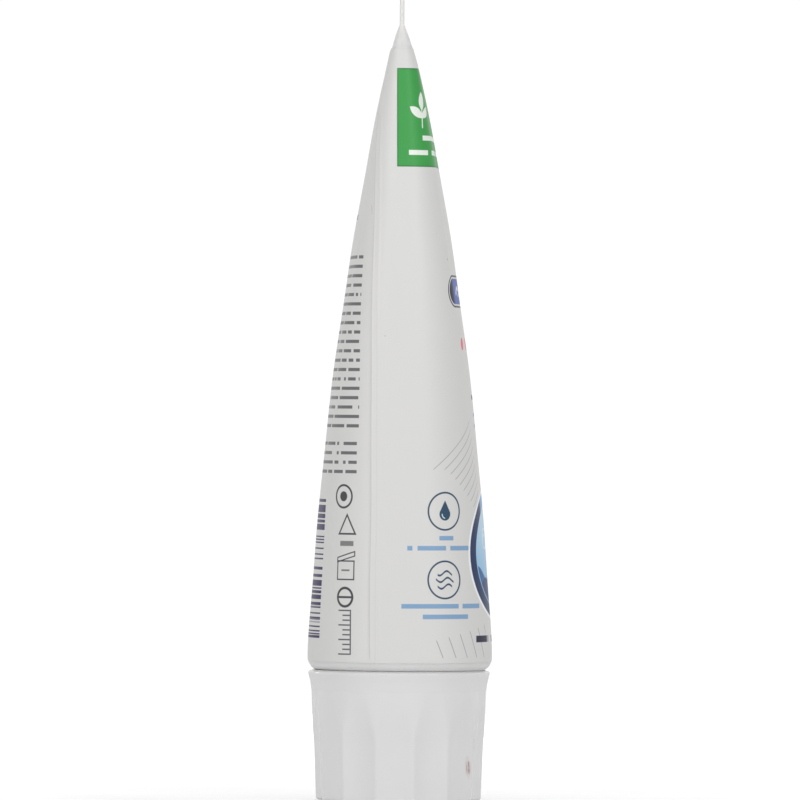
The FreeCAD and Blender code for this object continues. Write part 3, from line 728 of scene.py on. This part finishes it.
def words(q, z, q0, q1, top, lines, pitch, tall, cell, tone, seed, strength=1.0, gap=0.17, upright=False,
          ragged=0.0, thick=0.5):
    """Lines of plain bars in the rhythm of small print, each line tall * thick
    high. upright swaps the axes, so that the lines run up the tube."""
    along, across = (z, q) if upright else (q, z)
    row = (top - across) / pitch
    line = row.floor()
    off = ((row - line - 0.5) * pitch).abs()
    index = ((along - q0) / cell).floor()
    pick = net.random(net.vector(index, line, seed)).above(gap, 0.0005)
    edge = along.below(q1, 0.03)
    if ragged:
        edge = (along + net.random(net.vector(line, seed, 2.0)) * ragged).below(q1, 0.03)
    area = along.above(q0, 0.03) * edge * across.below(top, 0.03) * across.above(top - lines * pitch, 0.03)
    lay(off.below(tall * thick / 2, 0.045) * pick * area, tone, strength)


# the green band across the head of the front panel
band = inside_box(q_raw, z, -1.0, 56.0, 120.3, 138.8, 0.06)
lay(band, GREEN)
lay(inside_box(q_raw, z, -1.0, 56.0, 120.3, 138.8, 0.05) * (1.0 - inside_box(q_raw, z, -0.78, 55.78, 120.52, 138.58, 0.05)),
    ink(24, 84, 48), 0.55)
# three leaves on a stalk, at both ends of the band and in its middle
for qc, scale in ((4.15, 1.0), (27.5, 1.35), (50.85, 1.0)):
    u, v = (q_raw - qc) / scale, (z - 130.9) / scale
    lay(inside_box(u, v, -0.14, 0.14, -3.3, 0.4, 0.05), ink(238, 244, 236))
    for turn, cx, cy in ((0.0, 0.0, 1.75), (0.95, -1.3, -0.35), (-0.95, 1.3, -0.35)):
        cs, sn = math.cos(turn), math.sin(turn)
        a = (u - cx) * cs + (v - cy) * sn
        b = (v - cy) * cs - (u - cx) * sn
        lens = length(a.abs() + 1.55, b)
        lay(lens.below(2.35, 0.06), ink(238, 244, 236))
words(q_raw, z, 1.2, 53.8, 127.1, 2, 2.75, 1.85, 1.45, ink(238, 244, 236), 3.1, gap=0.22)

# the main mark: a long navy capsule with pale waves in it
u, v = q_raw - 27.5, z - 96.95
pill = length((u.abs() - 14.0).max(0.0), v)
lay((pill - 2.90).abs().below(0.17, 0.05), ink(16, 24, 54))
lay(pill.below(2.42, 0.05), net.mix(net.math("MULTIPLY_ADD", u.abs(), -0.75, 11.15, clamp=True), ink(12, 16, 40), ink(38, 78, 176)))
wave = (v - net.math("SINE", u * 0.62) * 0.75).abs()
lay(wave.below(0.34, 0.06) * u.abs().below(11.4, 0.05), ink(236, 240, 246))
wave = (v + net.math("SINE", u * 0.62) * 0.75 + 0.1).abs()
lay(wave.below(0.14, 0.05) * u.abs().below(10.8, 0.05), ink(150, 196, 236))
# a row of coral dots under it
dots = ((q_raw - 16.4) / 5.55)
dq = (dots - (dots + 0.5).floor()) * 5.55
lay(length(dq, z - 87.0).below(1.22, 0.06) * q_raw.above(15.0) * q_raw.below(40.0), ink(232, 84, 110))
# two lines of small print in the middle of the panel
words(q_raw, z, 22.9, 32.2, 78.2, 1, 2.6, 1.7, 1.25, NAVY, 5.2, gap=0.12)
words(q_raw, z, 23.4, 31.8, 74.6, 2, 2.1, 1.25, 0.95, BLUE, 6.4, gap=0.15)

# pale hairlines above and below the signs
def hairlines(lean, pitch, start, wide):
    """Parallel hairlines; lean is how far q moves for each mm of height."""
    turn = math.atan(lean)
    across = q * math.cos(turn) - z * math.sin(turn) - start
    return (((across / pitch + 0.5).fract() - 0.5).abs() * pitch).below(wide / 2, 0.035)


above = z.above(63.2, 0.2).max((z + q * 0.86).above(71.2, 0.2)) * (z + q * 0.86).above(68.3, 0.2)
below = (z - q * 0.81).below(58.8, 0.2) * q.above(6.2, 0.1) * (q + z * 0.25).below(36.0, 0.1)
lay(hairlines(1.24, 1.56, -45.2, 0.13) * above * below, ink(142, 144, 150), 0.8)
region = z.above(27.5, 0.1) * (z - (q - 8.0) * 0.22).below(31.0, 0.2) * q.above(6.4, 0.1) * q.below(21.0, 0.1)
lay(hairlines(-0.43, 2.66, -2.6, 0.14) * region, ink(130, 132, 140), 0.8)

# the big ringed disc, with a wave of deep blue at its foot
u, v = q_raw - 27.4, z - 47.0
rad = length(u, v)
lay(rad.below(12.35, 0.06), ink(246, 248, 250))
sky = net.mix(net.math("MULTIPLY_ADD", v + u * 0.35, 0.045, 0.5, clamp=True), ink(120, 184, 228), ink(214, 236, 248))
lay(rad.below(11.75, 0.06), sky)
lay((rad - 10.6).abs().below(1.15, 0.06) * (u + v * 0.25).below(-2.2, 1.6), ink(18, 44, 92))
lay((rad - 10.6).abs().below(1.15, 0.06) * (u + v * 0.25).above(-2.2, 1.6), ink(104, 168, 220), 0.85)
crest = v + 3.4 - net.math("SINE", u * 0.5) * 1.3
lay(crest.below(0.0, 0.06) * rad.below(9.1, 0.06), ink(40, 96, 160))
crest = v + 5.4 + net.math("SINE", u * 0.55 + 0.7) * 1.0
lay(crest.below(0.0, 0.06) * rad.below(9.1, 0.06), ink(22, 52, 108))
for cx, cy, r in ((-3.2, 3.0, 1.9), (2.6, 4.4, 1.3), (4.6, 0.8, 0.8), (-0.2, 0.6, 0.65)):
    ball = length(u - cx, v - cy)
    lay((ball - r).abs().below(0.13, 0.05), ink(246, 250, 252))
    lay(length(u - cx + r * 0.35, v - cy - r * 0.35).below(r * 0.2, 0.05), ink(246, 250, 252))

# two ringed signs on the side, with their captions
for qc, zc in ((8.96, 55.3), (8.82, 42.3)):
    rad = length(q_raw - qc, z - zc)
    lay((rad - 3.52).abs().below(0.17, 0.045), TEAL)
u, v = q_raw - 8.96, z - 55.3
drop = length(u, v + 0.55)
tip = ((u.abs() * 1.9) + v - 2.05)
body = drop.below(1.22, 0.05).max(tip.below(0.0, 0.06) * v.above(0.05, 0.05))
lay(body, TEAL)
lay((length(u - 0.1, v + 0.6) - 0.72).abs().below(0.1, 0.04) * u.below(0.0, 0.06) * v.below(-0.5, 0.06), ink(214, 232, 244))
u, v = q_raw - 8.82, z - 42.3
for k in range(3):
    arcs = v - (k - 1) * 1.25 - net.math("SINE", u * 2.0 + k * 0.4) * 0.42
    lay(arcs.abs().below(0.19, 0.05) * u.abs().below(1.95 - 0.35 * abs(k - 1), 0.05), TEAL)
words(q_raw, z, 7.7, 10.9, 51.05, 1, 1.7, 1.45, 1.05, BLUE, 8.1, gap=0.0, thick=0.58, strength=0.8)
words(q_raw, z, 1.3, 15.1, 49.15, 1, 1.7, 1.5, 0.98, BLUE, 8.6, gap=0.08, thick=0.58, strength=0.8)
words(q_raw, z, 0.25, 18.4, 38.15, 1, 1.7, 1.5, 0.98, BLUE, 9.4, gap=0.10, thick=0.58, strength=0.8)
words(q_raw, z, 4.3, 14.5, 36.15, 1, 1.7, 1.5, 0.98, BLUE, 10.2, gap=0.08, thick=0.58, strength=0.8)
words(q_raw, z, 17.0, 38.0, 32.15, 1, 2.3, 2.05, 1.15, ink(30, 30, 60), 11.2, gap=0.22, thick=0.62)

# back panel: fine print, small signs, bars
words(q, z, -46.5, -8.5, 104.2, 19, 1.775, 1.22, 0.74, GREY, 20.5, 0.86, gap=0.15)
words(q, z, -46.5, -8.9, 68.9, 4, 1.775, 1.22, 0.74, GREY, 23.5, 0.86, gap=0.13)
for k, (lo, hi) in enumerate([(109.6, 112.4)]):
    words(q, z, -40.0, -20.0, hi, 1, 2.8, 1.9, 1.3, NAVY, 25.5, gap=0.12)
rad = length(q + 12.1, z - 58.0)
lay((rad - 2.12).abs().below(0.2, 0.045), GREY)
lay(rad.below(0.95, 0.05), GREY)
# a triangle in outline
u, v = q + 11.1, z - 52.1
tri = (u.abs() * 0.9 + v * 0.5).max(v * -1.0)
lay((tri - 1.2).abs().below(0.17, 0.045), GREY)
lay(inside_box(q, z, -12.75, -9.45, 48.6, 49.55, 0.04), GREY, 0.75)
# an open jar in outline
u, v = q + 11.2, z - 44.0
jar = (u.abs() - 2.0).max(v.abs() - 1.75)
lay(jar.abs().below(0.13, 0.045), GREY)
lid = v - 2.55 - u * 0.28
lay((u.abs() - 2.1).max(lid.abs() - 0.42).abs().below(0.12, 0.045), GREY)
lay(((u.abs() - 1.0).max(v.abs() - 0.16)).below(0.0, 0.05), GREY, 0.8)
lay(((length(u, v * 1.0 + 5.1) - 1.75).abs().below(0.24, 0.05)), GREY)
lay(((u.abs() - 1.75).max((v + 5.1).abs() - 0.2)).below(0.0, 0.05), GREY)
for k in range(10):
    half = 1.35 if k % 3 == 0 else 0.85
    lay(((q + 10.0 + half).abs() - half).max((z - 28.1 - k * 0.92).abs() - 0.13).below(0.0, 0.05), GREY, 0.95)
lay((q + 9.85).abs().max((z - 32.24).abs() - 4.14).below(0.14, 0.05), GREY, 0.95)
# stacked bars
stripe = z / 0.28
pick = net.random(net.vector(stripe.floor(), 4.0, 1.0))
thick = ((stripe.fract() - 0.5).abs() - 0.5).below(0.0, 0.02)
bars = pick.above(0.47, 0.01)
lay(bars * inside_box(q, z, -28.6, -18.5, 31.0, 57.5, 0.03), ink(44, 34, 84))
lay(inside_box(q, z, -28.6, -18.5, 31.0, 31.5, 0.03), ink(44, 34, 84))
words(q, z, -46.4, -31.5, 57.6, 9, 1.775, 1.22, 0.74, GREY, 29.5, 0.86, gap=0.15)
lay(inside_box(q, z, -46.6, -31.3, 30.9, 38.9, 0.05, 0.9) * (1.0 - inside_box(q, z, -46.4, -31.5, 31.1, 38.7, 0.05, 0.75)), GREY, 0.8)
words(q, z, -45.4, -32.5, 37.9, 3, 2.1, 1.25, 0.85, NAVY, 31.5, 0.9, gap=0.12)

# a faint rub and two specks of dust
lay((q + 6.65 + (z - 112.3) * 0.2).abs().below(0.10, 0.08) * (z - 112.3).abs().below(0.8, 0.3), ink(176, 176, 172), 0.5)
lay(length(q - 11.3, z - 103.0).below(0.22, 0.12), ink(150, 148, 142), 0.6)
lay(length(q + 3.1, z - 88.4).below(0.12, 0.08), ink(160, 156, 150), 0.5)

# the film's own edges: painted shade along the free edge, partly its edge shadow and partly a thin line of adhesive,
# and a fainter painted shade where the film crosses the edge beneath
lay(s_len.below(0.10, 0.06), ink(150, 150, 148), 0.30)
lay((s_len - 1.15).abs().below(0.10, 0.12), ink(186, 186, 182), 0.15)
net.put("Base Color", color)
net.put("Roughness", net.math("MULTIPLY_ADD", net.noise(at, 210.0, 3.0), 0.08, 0.38))
ripple = net.bump(net.noise(at, 70.0, 2.0), 0.20, 0.00003)
net.put("Normal", net.bump(net.noise(at, 1300.0, 1.0), 0.012, 0.0001, ripple))
net.put("IOR", 1.50)
film_net = net

foil_net = Net("foil_aluminium")
at = foil_net.place()
foil_net.put("Base Color", foil_net.mix(foil_net.noise(at, 900.0, 4.0), (0.70, 0.71, 0.72, 1.0), (0.86, 0.86, 0.87, 1.0)))
foil_net.put("Metallic", 1.0)
foil_net.put("Roughness", foil_net.math("MULTIPLY_ADD", foil_net.noise(at, 2400.0, 3.0), 0.25, 0.18))
foil_net.put("Normal", foil_net.bump(foil_net.noise(at, 1900.0, 4.0), 0.35, 0.0001))

paste_net = moulded("paste_white", (0.80, 0.82, 0.815, 1.0), 0.32, 0.08, 500.0, 0.0008)

for obj, made, node, body, slot in (
        (cap, cap_net, "screw_cap", "cap", "cap_plastic"),
        (head, head_net, "tube_head", "tube", "head_plastic"),
        (foil, foil_net, "foil_seal", "seal", "foil"),
        (sleeve, sleeve_net, "tube_sleeve", "tube", "sleeve_plastic"),
        (film, film_net, "wrap_label", "tube", "printed_film"),
        (paste, paste_net, "toothpaste", "tube", "paste")):
    obj.data.materials.append(made.material)
    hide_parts(node)
    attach(obj, body)

# ----------------------------------------------------------- stage and light
scene = bpy.context.scene
scene.view_settings.view_transform = "Standard"
scene.view_settings.look = "None"
scene.view_settings.exposure = 0.0

FLOOR = 72
ring_pts = [[0, 0, -0.02]]
for rr_ in (60, 140, 300, 520):
    ring_pts += [[rr_ * math.cos(2 * PI * k / FLOOR), rr_ * math.sin(2 * PI * k / FLOOR), -0.02] for k in range(FLOOR)]
faces = grid_faces(4, FLOOR, 1)
close_pole(faces, 0, [1 + j for j in range(FLOOR)])
floor = build("pale_floor", ring_pts, faces, recalc=False)
floor_net = Net("floor_pale")
floor_at = floor_net.place()
floor_net.put("Base Color", floor_net.mix(floor_net.noise(floor_at, 8.0, 3.0), (0.73, 0.73, 0.73, 1.0), (0.76, 0.76, 0.76, 1.0)))
floor_net.put("Roughness", 0.7)
floor_net.put("Emission Color", (1.0, 1.0, 1.0, 1.0))
# painted light: for camera rays the floor glows, so that it turns plain white away from its contact shadow and on the
# +X side behind the tube; for all rays it glows faintly
fx, fy, fz = floor_net.parts(floor_at)
seen = Term(floor_net, floor_net.node("ShaderNodeLightPath").outputs["Is Camera Ray"])
floor_net.put("Emission Strength", ((length(fx, fy).above(0.085, 0.065) * 0.50).max(fx.above(-0.015, 0.045) * 0.20) + 0.13) * seen + 0.09)
floor_net.put("Specular IOR Level", 0.2)
floor.data.materials.append(floor_net.material)

world = bpy.data.worlds.new("soft_room")
scene.world = world
world.use_nodes = True
tree = world.node_tree
tree.nodes.clear()
out = tree.nodes.new("ShaderNodeOutputWorld")
back = tree.nodes.new("ShaderNodeBackground")
coord = tree.nodes.new("ShaderNodeTexCoord")
split = tree.nodes.new("ShaderNodeSeparateXYZ")
tree.links.new(coord.outputs["Generated"], split.inputs[0])


def lobe(low, high, first, last):
    """Light level that runs from low to high as the sky's x goes first to last."""
    ramp = tree.nodes.new("ShaderNodeMapRange")
    ramp.interpolation_type = "SMOOTHSTEP"
    for key, value in (("From Min", first), ("From Max", last), ("To Min", low), ("To Max", high)):
        ramp.inputs[key].default_value = value
    tree.links.new(split.outputs["X"], ramp.inputs["Value"])
    return ramp.outputs["Result"]


total = tree.nodes.new("ShaderNodeMath")
total.operation = "ADD"
tree.links.new(lobe(0.0, 0.34, 0.50, 0.90), total.inputs[0])
tree.links.new(lobe(1.17, 0.50, -0.97, -0.62), total.inputs[1])
tree.links.new(total.outputs[0], back.inputs["Strength"])
back.inputs["Color"].default_value = (1.0, 1.0, 1.0, 1.0)
# behind the object stands plain white paper
paper_back = tree.nodes.new("ShaderNodeBackground")
paper_back.inputs["Color"].default_value = (1.0, 1.0, 1.0, 1.0)
paper_back.inputs["Strength"].default_value = 1.04
choose = tree.nodes.new("ShaderNodeMixShader")
tree.links.new(tree.nodes.new("ShaderNodeLightPath").outputs["Is Camera Ray"], choose.inputs[0])
tree.links.new(back.outputs[0], choose.inputs[1])
tree.links.new(paper_back.outputs[0], choose.inputs[2])
tree.links.new(choose.outputs[0], out.inputs[0])


def soft_light(name, place, target, wide, tall, radiance):
    data = bpy.data.lights.new(name, "AREA")
    data.shape = "RECTANGLE"
    data.size, data.size_y = wide, tall
    data.energy = radiance * PI * wide * tall
    obj = bpy.data.objects.new(name, data)
    scene.collection.objects.link(obj)
    obj.location = place
    way = Vector(target) - Vector(place)
    obj.rotation_euler = way.to_track_quat("-Z", "Y").to_euler()
    obj.visible_camera = False
    return obj


middle = (0, 0, 0.08)
ridge_group = bpy.data.collections.new("ridges_lit")
ridge_group.objects.link(cap)
for side in (-1, 1):
    a = math.radians(42.0)
    soft_light("strip_%s" % ("left" if side > 0 else "right"),
               (-1.25 * math.cos(a), side * 1.25 * math.sin(a), 0.22), middle, 0.24, 1.1, 3.9)
    a = math.radians(129.0 if side > 0 else 126.0)
    rim = soft_light("rim_%s" % ("left" if side > 0 else "right"),
                     (-1.25 * math.cos(a), side * 1.25 * math.sin(a), 0.16), middle, 0.09, 0.7, 13.0)
    # these two only draw the thin bright lines on the cap's ridges
    rim.light_linking.receiver_collection = ridge_group
soft_light("top_box", (-0.1, 0.0, 2.0), middle, 2.6, 2.6, 0.45)

cam_data = bpy.data.cameras.new("camera")
cam_data.lens = 448.0
cam_data.sensor_width = 36.0
camera = bpy.data.objects.new("camera", cam_data)
scene.collection.objects.link(camera)
roll = math.radians(0.34)
turn = Matrix.Rotation(-PI / 2, 4, "Z") @ Matrix.Rotation(PI / 2, 4, "X") @ Matrix.Rotation(roll, 4, "Z")
camera.matrix_world = Matrix.Translation((-1.9, 0.00011, 0.0763)) @ turn
cam_data.clip_start = 0.05
cam_data.clip_end = 20.0
scene.camera = camera


def plain(box):
    return [[float(v) for v in corner] for corner in box]
